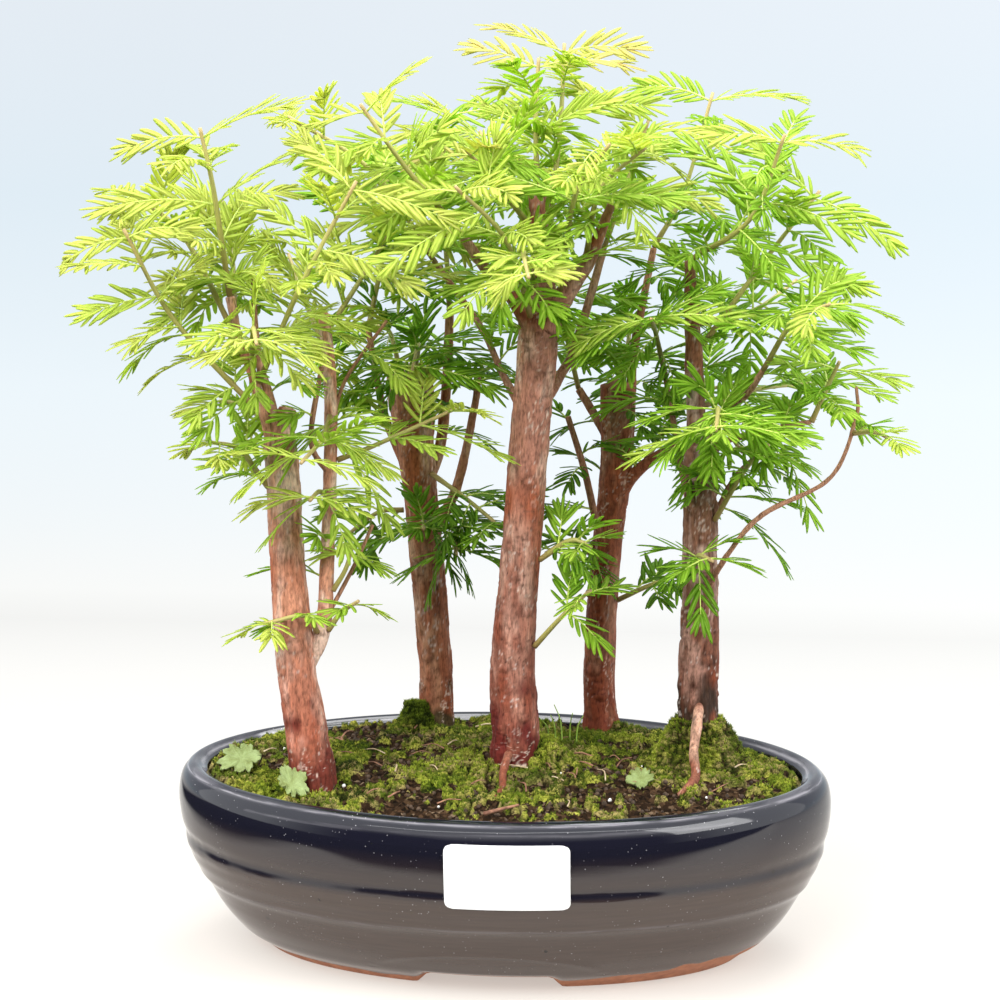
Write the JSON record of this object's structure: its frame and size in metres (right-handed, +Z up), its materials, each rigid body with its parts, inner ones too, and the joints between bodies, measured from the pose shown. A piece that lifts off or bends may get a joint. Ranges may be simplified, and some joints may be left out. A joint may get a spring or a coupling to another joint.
{
  "type": "dawn redwood bonsai forest",
  "caption": "Bonsai forest of slender dawn redwood stems with feathery needle sprays over mossy soil in a shallow oval glazed tray.",
  "frame": {"origin": "centre of the oval tray on the surface that its foot stands on", "axes": "+X along the tray's length to the right, +Y towards the back, +Z up; the front faces -Y"},
  "size_m": [0.3414, 0.2382, 0.3931],
  "materials": {
    "pot_glaze": "glossy blue-black stoneware glaze with a paler lip",
    "soil": "dark granular bonsai soil",
    "label_paper": "blank white paper",
    "drain_screen": "black plastic mesh",
    "liverwort": "leathery pale green",
    "moss": "dense green moss with brown tips",
    "bark_front_left": "reddish-brown flaking bark",
    "bark_back_left": "dark brown bark",
    "bark_centre": "reddish-brown flaking bark, torn dark red at the base",
    "bark_back_right": "brown bark",
    "bark_front_right": "dark rough flaky bark",
    "leaf_front_left": "lime-green soft needles",
    "leaf_back_left": "deep green soft needles",
    "leaf_centre": "yellow-green soft needles",
    "leaf_back_right": "green soft needles",
    "leaf_front_right": "light green soft needles"
  },
  "bodies": {
    "root": {"drain_mesh_left": "drain_screen", "drain_mesh_right": "drain_screen", "label": "label_paper", "liverwort_front_left": "liverwort", "liverwort_front_right": "liverwort", "liverwort_left": "liverwort", "moss_back_left": "moss", "moss_centre": "moss", "moss_front_right": "moss", "pot": "pot_glaze", "shoot_back_left_01": "leaf_back_left", "shoot_back_left_02": "leaf_back_left", "shoot_back_left_03": "leaf_back_left", "shoot_back_left_06": "leaf_back_left", "shoot_back_left_07": "leaf_back_left", "shoot_back_right_01": "leaf_back_right", "shoot_back_right_02": "leaf_back_right", "shoot_back_right_03": "leaf_back_right", "shoot_back_right_04": "leaf_back_right", "shoot_back_right_05": "leaf_back_right", "shoot_centre_01": "leaf_centre", "shoot_centre_02": "leaf_centre", "shoot_centre_03": "leaf_centre", "shoot_centre_04": "leaf_centre", "shoot_centre_05": "leaf_centre", "shoot_centre_06": "leaf_centre", "shoot_centre_07": "leaf_centre", "shoot_centre_08": "leaf_centre", "shoot_centre_09": "leaf_centre", "shoot_centre_10": "leaf_centre", "shoot_centre_11": "leaf_centre", "shoot_centre_12": "leaf_centre", "shoot_front_left_01": "leaf_front_left", "shoot_front_left_02": "leaf_front_left", "shoot_front_left_03": "leaf_front_left", "shoot_front_left_04": "leaf_front_left", "shoot_front_left_05": "leaf_front_left", "shoot_front_left_06": "leaf_front_left", "shoot_front_left_07": "leaf_front_left", "shoot_front_left_08": "leaf_front_left", "shoot_front_left_09": "leaf_front_left", "shoot_front_left_10": "leaf_front_left", "shoot_front_left_11": "leaf_front_left", "shoot_front_left_12": "leaf_front_left", "shoot_front_left_13": "leaf_front_left", "shoot_front_right_01": "leaf_front_right", "shoot_front_right_02": "leaf_front_right", "shoot_front_right_03": "leaf_front_right", "shoot_front_right_04": "leaf_front_right", "shoot_front_right_05": "leaf_front_right", "shoot_front_right_06": "leaf_front_right", "shoot_front_right_07": "leaf_front_right", "shoot_front_right_08": "leaf_front_right", "shoot_front_right_09": "leaf_front_right", "soil": "soil", "tree_back_left": "bark_back_left", "tree_back_right": "bark_back_right", "tree_centre": "bark_centre", "tree_front_left": "bark_front_left", "tree_front_right": "bark_front_right"}
  },
  "joints": []
}
